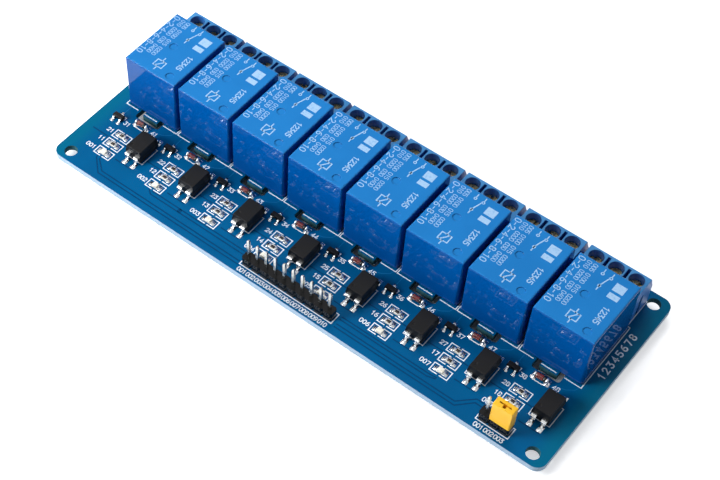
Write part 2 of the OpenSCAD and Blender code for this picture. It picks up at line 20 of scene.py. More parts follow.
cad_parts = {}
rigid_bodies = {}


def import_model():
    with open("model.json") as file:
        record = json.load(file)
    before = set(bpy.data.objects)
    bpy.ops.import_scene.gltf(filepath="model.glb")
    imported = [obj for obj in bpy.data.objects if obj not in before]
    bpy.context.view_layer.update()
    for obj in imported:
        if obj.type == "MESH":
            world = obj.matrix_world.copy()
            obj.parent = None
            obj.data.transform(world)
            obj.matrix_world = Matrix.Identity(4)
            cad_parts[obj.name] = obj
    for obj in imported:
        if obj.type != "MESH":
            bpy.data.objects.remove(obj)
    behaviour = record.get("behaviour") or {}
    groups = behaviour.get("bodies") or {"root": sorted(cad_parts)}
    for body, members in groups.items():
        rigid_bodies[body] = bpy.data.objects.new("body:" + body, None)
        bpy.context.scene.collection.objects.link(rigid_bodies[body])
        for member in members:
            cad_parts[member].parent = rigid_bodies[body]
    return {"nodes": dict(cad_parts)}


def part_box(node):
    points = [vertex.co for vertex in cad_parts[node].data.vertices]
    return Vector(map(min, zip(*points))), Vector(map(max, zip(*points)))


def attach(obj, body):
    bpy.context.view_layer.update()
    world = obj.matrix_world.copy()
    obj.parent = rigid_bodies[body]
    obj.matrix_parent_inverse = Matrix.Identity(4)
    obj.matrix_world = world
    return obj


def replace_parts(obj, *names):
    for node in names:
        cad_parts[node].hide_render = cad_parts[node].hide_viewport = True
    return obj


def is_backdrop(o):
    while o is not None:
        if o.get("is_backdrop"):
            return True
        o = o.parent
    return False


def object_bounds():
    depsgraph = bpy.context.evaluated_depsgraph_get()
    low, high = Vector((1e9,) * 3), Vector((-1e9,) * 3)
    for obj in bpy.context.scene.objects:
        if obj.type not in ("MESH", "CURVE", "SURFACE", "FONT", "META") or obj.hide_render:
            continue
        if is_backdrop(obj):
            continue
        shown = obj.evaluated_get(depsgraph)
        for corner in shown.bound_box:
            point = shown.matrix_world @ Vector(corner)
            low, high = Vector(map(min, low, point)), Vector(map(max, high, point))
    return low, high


LOG = logging.getLogger("relay_module")
MM = 0.001
CHANNELS = range(1, 9)

Point = tuple[float, float]
Socket = bpy.types.NodeSocket


# ---------------------------------------------------------------------------
# Colour and node helpers
# ---------------------------------------------------------------------------
def linear(code: str) -> tuple[float, float, float, float]:
    """Turn an sRGB hex colour into linear light.

    Args:
        code: Colour as "#rrggbb".

    Returns:
        Red, green, blue and an alpha of 1, linear.
    """
    parts = [int(code[i : i + 2], 16) / 255 for i in (1, 3, 5)]
    red, green, blue = (c / 12.92 if c <= 0.04045 else ((c + 0.055) / 1.055) ** 2.4 for c in parts)
    return red, green, blue, 1.0


def add_node(
    tree: bpy.types.NodeTree,
    kind: str,
    settings: dict[str, object] | None = None,
    values: dict[str | int, object] | None = None,
    links: dict[str | int, Socket] | None = None,
) -> bpy.types.Node:
    """Add one node with its settings, socket values and incoming links.

    Args:
        tree: Node tree that gets the node.
        kind: Node type, such as "ShaderNodeMix".
        settings: Properties of the node itself.
        values: Plain values for its sockets, by name or number.
        links: Output sockets to join to its inputs, by name or number.

    Returns:
        The new node.
    """
    node = tree.nodes.new(kind)
    for key, value in (settings or {}).items():
        setattr(node, key, value)
    for key, value in (values or {}).items():
        node.inputs[key].default_value = value
    for key, socket in (links or {}).items():
        tree.links.new(socket, node.inputs[key])
    return node


def new_material(name: str) -> tuple[bpy.types.Material, bpy.types.NodeTree, bpy.types.Node]:
    """Make an empty material.

    Args:
        name: Name of the finish.

    Returns:
        The material, its node tree and its Principled shader, joined to the output.
    """
    material = bpy.data.materials.new(name)
    material.use_nodes = True
    tree = material.node_tree
    tree.nodes.clear()
    shader = add_node(tree, "ShaderNodeBsdfPrincipled")
    add_node(tree, "ShaderNodeOutputMaterial", links={"Surface": shader.outputs[0]})
    return material, tree, shader


def mix_colours(tree: bpy.types.NodeTree, factor: Socket, first: object, second: object) -> Socket:
    """Mix two colours, each a hex code or a socket.

    Args:
        tree: Node tree of the material.
        factor: Socket that gives how much of the second shows.
        first: Colour at a factor of 0.
        second: Colour at a factor of 1.

    Returns:
        The colour output.
    """
    values: dict[str | int, object] = {}
    links: dict[str | int, Socket] = {0: factor}
    for place, colour in ((6, first), (7, second)):
        if isinstance(colour, str):
            values[place] = linear(colour)
        else:
            links[place] = colour
    node = add_node(tree, "ShaderNodeMix", {"data_type": "RGBA", "clamp_factor": True}, values, links)
    return node.outputs[2]


def remap(tree: bpy.types.NodeTree, value: Socket, low: float, high: float, to_low: float, to_high: float) -> Socket:
    """Map a range of a value smoothly to another.

    Args:
        tree: Node tree of the material.
        value: Socket to map.
        low: Value that gives to_low.
        high: Value that gives to_high.
        to_low: Result at low.
        to_high: Result at high.

    Returns:
        The mapped output.
    """
    node = add_node(
        tree,
        "ShaderNodeMapRange",
        {"interpolation_type": "SMOOTHSTEP"},
        {1: low, 2: high, 3: to_low, 4: to_high},
        {0: value},
    )
    return node.outputs[0]


def noise(
    tree: bpy.types.NodeTree, grain_mm: float, detail: float = 2.0, stretch: Sequence[float] = (1, 1, 1)
) -> Socket:
    """Add noise in the object's own space.

    Args:
        tree: Node tree of the material.
        grain_mm: Size of one grain in millimetres.
        detail: Octaves of the noise.
        stretch: Scale along each axis.

    Returns:
        The noise's value output.
    """
    place = add_node(tree, "ShaderNodeTexCoord").outputs["Object"]
    mapped = add_node(tree, "ShaderNodeMapping", values={"Scale": tuple(stretch)}, links={0: place})
    values = {"Scale": 1 / (grain_mm * MM), "Detail": detail}
    return add_node(tree, "ShaderNodeTexNoise", values=values, links={"Vector": mapped.outputs[0]}).outputs[0]


def faces_up(tree: bpy.types.NodeTree) -> Socket:
    """Give 1 on faces that look up, 0 on walls."""
    facing = add_node(tree, "ShaderNodeNewGeometry").outputs["Normal"]
    upward = add_node(tree, "ShaderNodeSeparateXYZ", links={0: facing}).outputs[2]
    return remap(tree, upward, 0.55, 0.95, 0, 1)


def soft_edges(tree: bpy.types.NodeTree, radius_mm: float) -> Socket:
    """Give the normal of a surface whose sharp edges are rounded.

    Args:
        tree: Node tree of the material.
        radius_mm: Radius of the rounding in millimetres.

    Returns:
        The normal output.
    """
    return add_node(tree, "ShaderNodeBevel", {"samples": 4}, {"Radius": radius_mm * MM}).outputs[0]


def bump(tree: bpy.types.NodeTree, height: Socket, depth_mm: float, normal: Socket | None = None) -> Socket:
    """Turn a height into a normal.

    Args:
        tree: Node tree of the material.
        height: Socket that gives the height from 0 to 1.
        depth_mm: Real depth of the relief in millimetres.
        normal: Normal to start from.

    Returns:
        The normal output.
    """
    links: dict[str | int, Socket] = {"Height": height}
    if normal is not None:
        links["Normal"] = normal
    return add_node(tree, "ShaderNodeBump", values={"Strength": 1.0, "Distance": depth_mm * MM}, links=links).outputs[0]


# ---------------------------------------------------------------------------
# Finishes
# ---------------------------------------------------------------------------
class Finish:
    """A real material that is made into a Blender material once."""

    name: str
    _made: dict[str, bpy.types.Material] = {}

    def build(self) -> bpy.types.Material:
        """Make the Blender material."""
        raise NotImplementedError

    def material(self) -> bpy.types.Material:
        """Give the Blender material, made on first use."""
        if self.name not in Finish._made:
            Finish._made[self.name] = self.build()
        return Finish._made[self.name]


@dataclass(frozen=True)
class MouldedPlastic(Finish):
    """An injection-moulded plastic: soft edges, a fine eroded texture and a little unevenness."""

    name: str
    colour: str
    shade: str
    roughness: float
    grain_mm: float = 0.12
    relief_mm: float = 0.004
    edge_mm: float = 0.15
    gloss: float = 0.3
    # colour of walls and wells, a darker copy of the top's colour: painted shade
    shaded_flank: str = ""

    def build(self) -> bpy.types.Material:
        """Make the Blender material."""
        material, tree, shader = new_material(self.name)
        uneven = remap(tree, noise(tree, 6.0), 0.35, 0.65, 0, 1)
        colour = mix_colours(tree, uneven, self.colour, self.shade)
        if self.shaded_flank:
            # painted shade: walls and wells take a darker copy of the colour than the top
            colour = mix_colours(tree, faces_up(tree), self.shaded_flank, colour)
        tree.links.new(colour, shader.inputs["Base Color"])
        grain = noise(tree, self.grain_mm, 1.0)
        rough = remap(tree, noise(tree, 3.0), 0.3, 0.7, self.roughness - 0.04, self.roughness + 0.04)
        tree.links.new(rough, shader.inputs["Roughness"])
        normal = bump(tree, grain, self.relief_mm, soft_edges(tree, self.edge_mm))
        tree.links.new(normal, shader.inputs["Normal"])
        shader.inputs["Specular IOR Level"].default_value = self.gloss
        return material


@dataclass(frozen=True)
class RelayShell(Finish):
    """Dyed PBT polyester: the cover's flanks come polished from the mould, its top is eroded matt. Its top is painted
    lighter than its flanks, and the flanks darker towards the skirt: painted light and shade.
    """

    name: str = "relay_case_pbt_blue"
    # one blue in a lit copy for the top and shaded copies for the flanks and skirt: painted light and shade
    shaded_flank: str = "#0055a3"
    painted_skirt_shade: str = "#004a92"
    top: str = "#1d7ec8"
    flank_roughness: float = 0.04
    top_roughness: float = 0.42
    grain_mm: float = 0.14

    def build(self) -> bpy.types.Material:
        """Make the Blender material."""
        material, tree, shader = new_material(self.name)
        on_top = faces_up(tree)
        cloud = remap(tree, noise(tree, 9.0), 0.3, 0.7, 0, 1)
        # painted shade: the flanks darken towards the skirt
        place = add_node(tree, "ShaderNodeTexCoord").outputs["Object"]
        height = add_node(tree, "ShaderNodeSeparateXYZ", links={0: place}).outputs[2]
        shaded_flank = mix_colours(tree, remap(tree, height, 3 * MM, 17 * MM, 0, 1), self.painted_skirt_shade, self.shaded_flank)
        top = mix_colours(tree, cloud, self.top, "#1a79c2")
        # painted light: the top takes a lighter copy of the blue than the flanks
        tree.links.new(mix_colours(tree, on_top, shaded_flank, top), shader.inputs["Base Color"])
        scuffed = remap(tree, height, 4.4 * MM, 5.4 * MM, 0.3, self.flank_roughness)
        rough = add_node(
            tree, "ShaderNodeMix", {"data_type": "FLOAT"}, {3: self.top_roughness}, {0: on_top, 2: scuffed}
        ).outputs[0]
        tree.links.new(rough, shader.inputs["Roughness"])
        grain = add_node(
            tree, "ShaderNodeMath", {"operation": "MULTIPLY"}, links={0: noise(tree, self.grain_mm, 1.0), 1: on_top}
        )
        tree.links.new(bump(tree, grain.outputs[0], 0.006, soft_edges(tree, 0.3)), shader.inputs["Normal"])
        shader.inputs["Specular IOR Level"].default_value = 0.2
        return material


@dataclass(frozen=True)
class MaskedLaminate(Finish):
    """FR4 glass-epoxy board: glossy blue solder mask on its faces, bare milled laminate on its edges."""

    name: str = "board_mask_blue_on_fr4"
    mask: str = "#005c90"
    mask_dark: str = "#005688"
    bare_mask: str = "#006a86"
    edge: str = "#b4cbe0"
    edge_dark: str = "#98b2ca"
    # walls of slots and holes, painted darker than the outer edge: painted shade
    shaded_cut: str = "#3f6f78"
    shaded_cut_dark: str = "#2c5560"
    half_size_mm: Point = (69.0, 27.15)
    ply_mm: float = 0.2
    pour_reach_mm: float = 65.0
    gloss: float = 0.06

    def build(self) -> bpy.types.Material:
        """Make the Blender material."""
        material, tree, shader = new_material(self.name)
        facing = add_node(tree, "ShaderNodeNewGeometry").outputs["Normal"]
        upward = add_node(tree, "ShaderNodeSeparateXYZ", links={0: facing}).outputs[2]
        flat = add_node(tree, "ShaderNodeMath", {"operation": "ABSOLUTE"}, links={0: upward}).outputs[0]
        on_face = remap(tree, flat, 0.45, 0.55, 0, 1)
        # mask over the copper pour is bluer than mask over bare laminate past the pour's ends
        place = add_node(tree, "ShaderNodeTexCoord").outputs["Object"]
        along, back = add_node(tree, "ShaderNodeSeparateXYZ", links={0: place}).outputs[:2]
        away = add_node(tree, "ShaderNodeMath", {"operation": "ABSOLUTE"}, links={0: along}).outputs[0]
        deep = add_node(tree, "ShaderNodeMath", {"operation": "ABSOLUTE"}, links={0: back}).outputs[0]
        past_pour = remap(tree, away, (self.pour_reach_mm - 2) * MM, (self.pour_reach_mm + 3) * MM, 0, 0.7)
        cloud = remap(tree, noise(tree, 14.0), 0.35, 0.65, 0, 1)
        mask = mix_colours(tree, cloud, self.mask, self.mask_dark)
        mask = mix_colours(tree, past_pour, mask, self.bare_mask)
        # woven glass plies show on the milled edge as thin level lines
        plies = add_node(
            tree,
            "ShaderNodeTexWave",
            {"bands_direction": "Z"},
            {"Scale": 0.314 / (self.ply_mm * MM), "Distortion": 1.2, "Detail": 2.0},
            {"Vector": place},
        ).outputs[0]
        # the outer edge is pale where the cutter left it; slots and holes are painted darker: painted shade
        rims = [
            remap(tree, where, (half - 0.9) * MM, (half - 0.7) * MM, 0, 1)
            for where, half in zip((away, deep), self.half_size_mm)
        ]
        outer = add_node(tree, "ShaderNodeMath", {"operation": "MAXIMUM"}, links={0: rims[0], 1: rims[1]}).outputs[0]
        shaded_inside = mix_colours(tree, plies, self.shaded_cut, self.shaded_cut_dark)
        edge = mix_colours(tree, outer, shaded_inside, mix_colours(tree, plies, self.edge, self.edge_dark))
        tree.links.new(mix_colours(tree, on_face, edge, mask), shader.inputs["Base Color"])
        tree.links.new(remap(tree, on_face, 0, 1, 0.7, 0.22), shader.inputs["Roughness"])
        shader.inputs["Specular IOR Level"].default_value = self.gloss
        # orange peel of the cured mask
        peel = add_node(
            tree, "ShaderNodeMath", {"operation": "MULTIPLY"}, links={0: noise(tree, 1.6), 1: on_face}
        ).outputs[0]
        tree.links.new(bump(tree, peel, 0.012), shader.inputs["Normal"])
        return material


@dataclass(frozen=True)
class Metal(Finish):
    """A plated or soldered metal with fine uneven polish."""

    name: str
    colour: str
    shade: str
    roughness: float
    grain_mm: float = 0.4
    relief_mm: float = 0.01
    edge_mm: float = 0.06
    metallic: float = 1.0

    def build(self) -> bpy.types.Material:
        """Make the Blender material."""
        material, tree, shader = new_material(self.name)
        uneven = remap(tree, noise(tree, 1.2), 0.35, 0.65, 0, 1)
        tree.links.new(mix_colours(tree, uneven, self.colour, self.shade), shader.inputs["Base Color"])
        rough = remap(tree, noise(tree, self.grain_mm), 0.3, 0.7, self.roughness - 0.06, self.roughness + 0.08)
        tree.links.new(rough, shader.inputs["Roughness"])
        normal = bump(tree, noise(tree, self.grain_mm), self.relief_mm, soft_edges(tree, self.edge_mm))
        tree.links.new(normal, shader.inputs["Normal"])
        shader.inputs["Metallic"].default_value = self.metallic
        return material


@dataclass(frozen=True)
class Ink(Finish):
    """Screen or pad print: a thin, slightly patchy film."""

    name: str
    colour: str
    thin: str
    roughness: float = 0.55
    gloss: float = 0.3

    def build(self) -> bpy.types.Material:
        """Make the Blender material."""
        material, tree, shader = new_material(self.name)
        patchy = remap(tree, noise(tree, 0.5), 0.45, 0.75, 0, 1)
        tree.links.new(mix_colours(tree, patchy, self.colour, self.thin), shader.inputs["Base Color"])
        shader.inputs["Roughness"].default_value = self.roughness
        shader.inputs["Specular IOR Level"].default_value = self.gloss
        return material


@dataclass(frozen=True)
class Glaze(Finish):
    """Glass or clear resin over a coloured body: a smooth glossy skin on a soft colour."""

    name: str
    colour: str
    shade: str
    roughness: float = 0.08
    coat: float = 0.8
    cloud_mm: float = 0.5

    def build(self) -> bpy.types.Material:
        """Make the Blender material."""
        material, tree, shader = new_material(self.name)
        cloud = remap(tree, noise(tree, self.cloud_mm), 0.35, 0.65, 0, 1)
        tree.links.new(mix_colours(tree, cloud, self.colour, self.shade), shader.inputs["Base Color"])
        shader.inputs["Roughness"].default_value = self.roughness
        shader.inputs["Coat Weight"].default_value = self.coat
        shader.inputs["Coat Roughness"].default_value = 0.03
        return material


RELAY_SHELL = RelayShell()
LAMINATE = MaskedLaminate()
# the terminal's walls and wells are painted darker than its top: painted shade
TERMINAL_NYLON = MouldedPlastic("terminal_nylon_blue", "#4c97d4", "#448ecb", 0.4, edge_mm=0.22, shaded_flank="#2c6cb6")
OPTO_EPOXY = MouldedPlastic("opto_epoxy_black", "#0d0c0d", "#090909", 0.42, grain_mm=0.2, relief_mm=0.008)
CHIP_EPOXY = MouldedPlastic("transistor_epoxy_black", "#0a0a0b", "#070708", 0.4, edge_mm=0.08)
HEADER_PBT = MouldedPlastic("header_pbt_black", "#0d0d0f", "#09090b", 0.14, relief_mm=0.001, edge_mm=0.08)
JUMPER_PBT = MouldedPlastic("jumper_pbt_yellow", "#ffcb38", "#fcc22e", 0.34, edge_mm=0.15)
PIN_TIN = Metal("pin_tinned_brass", "#cfd2d2", "#b9bab4", 0.16)
LEAD_TIN = Metal("lead_bright_tin", "#eceded", "#dcdedf", 0.24)
CLAMP_NICKEL = Metal("clamp_nickel_steel", "#d3cfc6", "#bdb8ad", 0.3)
SCREW_ZINC = Metal("screw_yellow_zinc", "#e2cf9a", "#c9b27a", 0.3)
SOLDER_TIN = Metal("solder_bright", "#e6e8ea", "#d2d5d9", 0.2, grain_mm=0.7, relief_mm=0.03)
BOARD_INK = Ink("silk_ink_white", "#f4faff", "#dcebfa")
RELAY_INK = Ink("relay_pad_print", "#a9cef2", "#8fbdea")
TRACK_GAP = Ink("mask_over_track_gap", "#003e6a", "#003862", 0.3, 0.06)
TRACK_RIDGE = Ink("mask_over_track_edge", "#176fa6", "#12659b", 0.3, 0.06)
DIODE_GLASS = Glaze("diode_glass_red", "#7a3024", "#4e1c15", 0.24, 0.9, 0.7)
DIODE_BAND = Glaze("diode_band_black", "#0f0e0e", "#090808", 0.2, 0.4)
LED_LENS = Glaze("led_lens_clear", "#fbf7ea", "#efe9d6", 0.15, 0.6, 0.8)
RESISTOR_GLAZE = Glaze("resistor_overglaze_black", "#332d29", "#27221f", 0.25, 0.3)
ALUMINA = MouldedPlastic("resistor_alumina", "#e6e3da", "#d8d4c8", 0.6, grain_mm=0.1, edge_mm=0.03)


# ---------------------------------------------------------------------------
# Shapes under construction, in millimetres
# ---------------------------------------------------------------------------
class Solid:
    """A mesh under construction, in millimetres, with one or more finishes."""

    def __init__(self, *finishes: Finish) -> None:
        """Start an empty mesh.

        Args:
            finishes: Finishes of its faces; the shapes name them by number.
        """
        self.bm = bmesh.new()
        self.finishes = finishes

    def _dress(self, verts: Iterable[bmesh.types.BMVert], finish: int, smooth: bool = False) -> None:
        """Give the faces round some vertices a finish by number."""
        for face in {f for v in verts for f in v.link_faces}:
            face.material_index = finish
            face.smooth = smooth

    def block(
        self, centre: Sequence[float], size: Sequence[float], finish: int = 0, round_mm: float = 0.0, steps: int = 2
    ) -> None:
        """Add a block with rounded edges.

        Args:
            centre: Its middle.
            size: Its lengths along the axes.
            finish: Number of its finish.
            round_mm: Radius of its edges.
            steps: Facets across each rounding.
        """
        place = Matrix.Translation(centre) @ Matrix.Diagonal((*size, 1))
        verts = bmesh.ops.create_cube(self.bm, size=1, matrix=place)["verts"]
        if round_mm > 0:
            edges = list({e for v in verts for e in v.link_edges})
            made = bmesh.ops.bevel(
                self.bm, geom=edges, offset=round_mm, segments=steps, profile=0.5, affect="EDGES", material=-1
            )
            verts = list({v for v in made["verts"]} | {v for v in verts if v.is_valid})
        self._dress(verts, finish, round_mm > 0)

    def ribbon(
        self, points: Sequence[Point], width: float, z: float, thick: float, closed: bool = False, finish: int = 0
    ) -> None:
        """Add a flat strip along a line, with mitred corners and square ends.

        Args:
            points: The line's points.
            width: Width of the strip.
            z: Height of its underside.
            thick: Its thickness.
            closed: True if the line returns to its start.
            finish: Number of its finish.
        """
        line = [Vector(p) for p in points]
        rims: list[tuple[bmesh.types.BMVert, bmesh.types.BMVert]] = []
        for i, here in enumerate(line):
            before = (here - line[i - 1]).normalized() if closed or i > 0 else None
            after = (line[(i + 1) % len(line)] - here).normalized() if closed or i < len(line) - 1 else None
            heading = ((before or after) + (after or before)).normalized()
            side = Vector((-heading.y, heading.x)) * (width / 2)
            if before and after:
                side /= max(0.45, heading.dot(after))
            else:
                here = here + heading * (width / 2 if before else -width / 2)
            rims.append(tuple(self.bm.verts.new((*(here + way * side), z)) for way in (1, -1)))
        joints = zip(rims, rims[1:] + (rims[:1] if closed else []))
        self._raise([self.bm.faces.new((a[0], a[1], b[1], b[0])) for a, b in joints], thick, finish)

    def outline(self, points: Sequence[Point], z: float, thick: float, finish: int = 0) -> None:
        """Add a flat plate with a given outline.

        Args:
            points: The outline's corners.
            z: Height of its underside.
            thick: Its thickness.
            finish: Number of its finish.
        """
        face = self.bm.faces.new([self.bm.verts.new((*p, z)) for p in points])
        self._raise([face], thick, finish)

    def _raise(self, faces: list[bmesh.types.BMFace], thick: float, finish: int) -> None:
        """Turn flat faces into plates."""
        made = bmesh.ops.extrude_face_region(self.bm, geom=faces, use_keep_orig=True)["geom"]
        top = [g for g in made if isinstance(g, bmesh.types.BMVert)]
        bmesh.ops.translate(self.bm, verts=top, vec=(0, 0, thick))
        plates = list({f for v in top for f in v.link_faces} | set(faces))
        for face in plates:
            face.material_index = finish
        bmesh.ops.recalc_face_normals(self.bm, faces=plates)

    def ring(
        self, centre: Point, outer: float, inner: float, z: float, thick: float, finish: int = 0, steps: int = 24
    ) -> None:
        """Add a flat ring or, with an inner radius of 0, a disc.

        Args:
            centre: Its middle.
            outer: Outer radius.
            inner: Inner radius.
            z: Height of its underside.
            thick: Its thickness.
            finish: Number of its finish.
            steps: Sides of its circles.
        """
        radius = (outer + inner) / 2 if inner > 0 else outer
        turn = [2 * math.pi * i / steps for i in range(steps)]
        line = [(centre[0] + radius * math.cos(a), centre[1] + radius * math.sin(a)) for a in turn]
        if inner > 0:
            self.ribbon(line, outer - inner, z, thick, True, finish)
        else:
            self.outline(line, z, thick, finish)

    def lathe(
        self,
        profile: Sequence[Point],
        centre: Sequence[float],
        axis: str = "Z",
        finish: int | Callable[[float], int] = 0,
        steps: int = 20,
    ) -> None:
        """Add a turned shape.

        Args:
            profile: Radius and height of each point, from one end to the other.
            centre: Where its axis meets height 0.
            axis: "Z" or "X", the axis that it is turned about.
            finish: Number of its finish, or a rule that gives it for a height.
            steps: Sides of its circles.
        """
        part = bmesh.new()
        verts = [part.verts.new((r, 0, h)) for r, h in profile]
        edges = [part.edges.new(pair) for pair in zip(verts, verts[1:])]
        bmesh.ops.spin(part, geom=verts + edges, cent=(0, 0, 0), axis=(0, 0, 1), angle=2 * math.pi, steps=steps)
        bmesh.ops.remove_doubles(part, verts=part.verts, dist=1e-5)
        bmesh.ops.recalc_face_normals(part, faces=part.faces)
        for face in part.faces:
            face.material_index = finish(face.calc_center_median().z) if callable(finish) else finish
            face.smooth = True
        turn = Matrix.Rotation(math.pi / 2, 4, "Y") if axis == "X" else Matrix()
        bmesh.ops.transform(part, matrix=Matrix.Translation(centre) @ turn, verts=part.verts)
        mesh = bpy.data.meshes.new("turned")
        part.to_mesh(mesh)
        part.free()
        self.bm.from_mesh(mesh)
        bpy.data.meshes.remove(mesh)

    def fillet(
        self,
        foot: Sequence[float],
        reach: float,
        height: float,
        width: float,
        heading: Sequence[float],
        finish: int = 0,
    ) -> None:
        """Add a solder fillet: a hollow wedge that climbs a metal face from a pad.

        Args:
            foot: Point on the pad at the middle of the metal face's lower edge.
            reach: How far it runs out over the pad.
            height: How far it climbs.
            width: Its width along the face.
            heading: Unit direction, in plan, in which it runs out from the face.
            finish: Number of its finish.
        """
        out, across = Vector((*heading[:2], 0)), Vector((-heading[1], heading[0], 0))
        steps = 5
        side = [Vector((0, 0, 0))]
        for i in range(steps + 1):
            a = math.pi / 2 * i / steps
            run = reach * (1 - math.sin(a)) * 0.96 + 0.04 * reach
            side.append(out * run + Vector((0, 0, height * (1 - math.cos(a)) + 0.02)))
        start = Vector(foot) - across * (width / 2)
        verts = [self.bm.verts.new(start + p) for p in side]
        face = self.bm.faces.new(verts)
        made = bmesh.ops.extrude_face_region(self.bm, geom=[face], use_keep_orig=True)["geom"]
        far = [g for g in made if isinstance(g, bmesh.types.BMVert)]
        bmesh.ops.translate(self.bm, verts=far, vec=across * width)
        faces = list({f for v in verts + far for f in v.link_faces})
        bmesh.ops.recalc_face_normals(self.bm, faces=faces)
        for face in faces:
            face.material_index = finish
            face.smooth = len(face.verts) == 4

    def piece(self, name: str, slot: str | None = None) -> bpy.types.Object:
        """Finish the mesh as a piece of the module.

        Args:
            name: Name of the piece.
            slot: Not used.

        Returns:
            The new object, which rides on the module.
        """
        bmesh.ops.scale(self.bm, vec=(MM, MM, MM), verts=self.bm.verts)
        mesh = bpy.data.meshes.new(name)
        self.bm.to_mesh(mesh)
        self.bm.free()
        for finish in self.finishes:
            mesh.materials.append(finish.material())
        thing = bpy.data.objects.new(name, mesh)
        bpy.context.scene.collection.objects.link(thing)
        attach(thing, "root")
        LOG.info("%s: %d faces", name, len(mesh.polygons))
        return thing


# ---------------------------------------------------------------------------
# Plain numerals, drawn as strokes
# ---------------------------------------------------------------------------
STROKES: dict[str, list[list[Point]]] = {
    "0": [[(0, 0.22), (0, 0.78), (0.16, 1), (0.44, 1), (0.6, 0.78), (0.6, 0.22), (0.44, 0), (0.16, 0), (0, 0.22)]],
    "1": [[(0.12, 0.78), (0.34, 1), (0.34, 0)]],
    "2": [[(0, 0.8), (0.16, 1), (0.44, 1), (0.6, 0.8), (0.6, 0.62), (0, 0), (0.6, 0)]],
    "3": [
        [(0, 1), (0.6, 1), (0.3, 0.6), (0.46, 0.58), (0.6, 0.42), (0.6, 0.16), (0.44, 0), (0.16, 0), (0, 0.14)]
    ],
    "4": [[(0.45, 0), (0.45, 1), (0, 0.3), (0.62, 0.3)]],
    "5": [
        [(0.58, 1), (0.05, 1), (0.02, 0.58), (0.4, 0.6), (0.6, 0.44), (0.6, 0.16), (0.44, 0), (0.16, 0), (0, 0.12)]
    ],
    "6": [
        [
            (0.5, 1), (0.2, 0.86), (0, 0.5), (0, 0.16), (0.16, 0),
            (0.44, 0), (0.6, 0.16), (0.6, 0.4), (0.44, 0.55), (0.1, 0.52),
        ]
    ],
    "7": [[(0, 1), (0.6, 1), (0.24, 0)]],
    "8": [
        [
            (0.16, 0.54), (0.02, 0.7), (0.02, 0.86), (0.16, 1), (0.44, 1),
            (0.58, 0.86), (0.58, 0.7), (0.44, 0.54), (0.16, 0.54),
        ],
        [(0.16, 0.54), (0, 0.38), (0, 0.16), (0.16, 0), (0.44, 0), (0.6, 0.16), (0.6, 0.38), (0.44, 0.54)],
    ],
    "9": [
        [
            (0.1, 0), (0.4, 0.14), (0.6, 0.5), (0.6, 0.84), (0.44, 1),
            (0.16, 1), (0, 0.84), (0, 0.6), (0.16, 0.45), (0.5, 0.48),
        ]
    ],
    "-": [[(0.08, 0.5), (0.52, 0.5)]],
    ".": [[(0.24, 0.02), (0.32, 0.02)]],
    " ": [],
}


class Reading(Enum):
    """The way a line of numerals runs, seen from above."""

    RIGHT = ((1, 0), (0, 1))
    TOWARDS_FRONT = ((0, -1), (1, 0))
    TOWARDS_BACK = ((0, 1), (-1, 0))


@dataclass(frozen=True)
class Numerals:
    """A line of plain numerals in strokes of one width."""

    height: float
    stroke: float
    advance: float = 0.88

    def width(self, text: str) -> float:
        """Give the length of a line of numerals in millimetres."""
        return (len(text) - 1) * self.advance * self.height + 0.6 * self.height

    def draw(
        self,
        solid: Solid,
        text: str,
        at: Point,
        z: float,
        thick: float,
        way: Reading = Reading.RIGHT,
        finish: int = 0,
    ) -> None:
        """Draw a line of numerals.

        Args:
            solid: Mesh that gets the strokes.
            text: Digits, dashes, points and blanks.
            at: Lower left corner of the first numeral, as it reads.
            z: Height of the surface.
            thick: Thickness of the print.
            way: The way the line runs.
            finish: Number of the finish.
        """
        along, up = Vector(way.value[0]), Vector(way.value[1])
        for i, char in enumerate(text):
            for stroke in STROKES[char]:
                points = [
                    tuple(Vector(at) + along * ((x + i * self.advance) * self.height) + up * (y * self.height))
                    for x, y in stroke
                ]
                shut = len(points) > 3 and points[0] == points[-1]
                solid.ribbon(points[:-1] if shut else points, self.stroke, z, thick, shut, finish)


# ---------------------------------------------------------------------------
# Places, read from the CAD frame
# ---------------------------------------------------------------------------
@dataclass
class Span:
    """The box of a CAD node, in millimetres."""

    node: str
    low: Vector = field(init=False)
    high: Vector = field(init=False)

    def __post_init__(self) -> None:
        """Read the box from the frame."""
        low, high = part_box(self.node)
        self.low, self.high = low / MM, high / MM

    @property
    def middle(self) -> Vector:
        """Centre of the box."""
        return (self.low + self.high) / 2

    @property
    def size(self) -> Vector:
        """Lengths of the box."""
        return self.high - self.low


class Layout:
    """Places of the module's parts, in millimetres."""

    def __init__(self) -> None:
        """Read every place from the frame."""
        self.board = Span("circuit_board")
        self.top = self.board.high.z
        self.relays = [Span(f"relay_{k}") for k in CHANNELS]
        self.terminals = [Span(f"terminal_block_{k}") for k in CHANNELS]
        self.optos = [Span(f"optocoupler_{k}") for k in CHANNELS]
        self.diodes = [Span(f"flyback_diode_{k}") for k in CHANNELS]
        self.leds = [Span(f"indicator_led_{k}") for k in CHANNELS]
        self.input_header = Span("input_header")
        self.supply_header = Span("supply_header")
        self.pitch = self.relays[1].middle.x - self.relays[0].middle.x
        self.front = self.relays[0].low.y
        chips = Span("resistors")
        half = self.leds[0].size.y / 2
        self.resistor_rows = (chips.low.y + half, chips.high.y - half)
        self.resistor_top = chips.high.z
        bodies, legs = Span("transistors"), Span("transistor_leads")
        self.transistor_size = Vector((bodies.size.x - 7 * self.pitch, bodies.size.y, bodies.size.z))
        self.transistor_x = bodies.low.x + self.transistor_size.x / 2 - self.relays[0].middle.x
        self.transistor_y = bodies.middle.y
        self.transistor_reach = (legs.low.y, legs.high.y)
        feet = Span("optocoupler_leads")
        self.opto_reach = (feet.low.y, feet.high.y)

    def relay_x(self, k: int) -> float:
        """Give the centre of channel k along the row."""
        return self.relays[k - 1].middle.x


